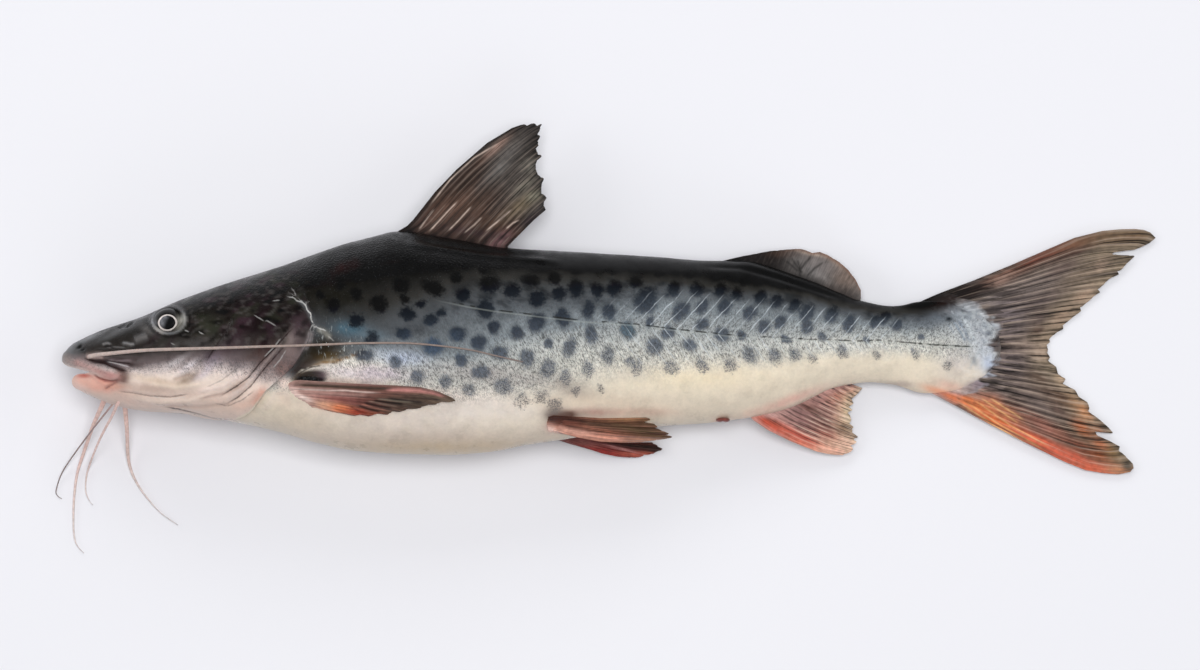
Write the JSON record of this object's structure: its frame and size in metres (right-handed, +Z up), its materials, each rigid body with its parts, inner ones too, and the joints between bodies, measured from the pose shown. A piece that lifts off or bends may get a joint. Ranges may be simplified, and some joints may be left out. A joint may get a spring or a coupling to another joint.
{
  "type": "whole raw catfish",
  "caption": "Whole raw spotted catfish lying on its side, with a flat broad head, long whiskers, a high back fin, a fleshy rear fin and a forked tail.",
  "frame": {"origin": "on the table under the fish, at the middle of its length and of its width across fins and whiskers", "axes": "+X from the snout to the tail, +Y towards the back fin, +Z up out of the table, towards the fish's left side"},
  "size_m": [0.6122, 0.2385, 0.0836],
  "materials": {
    "skin": "wet, glossy skin"
  },
  "bodies": {
    "root": {"catfish": "skin"}
  },
  "joints": []
}
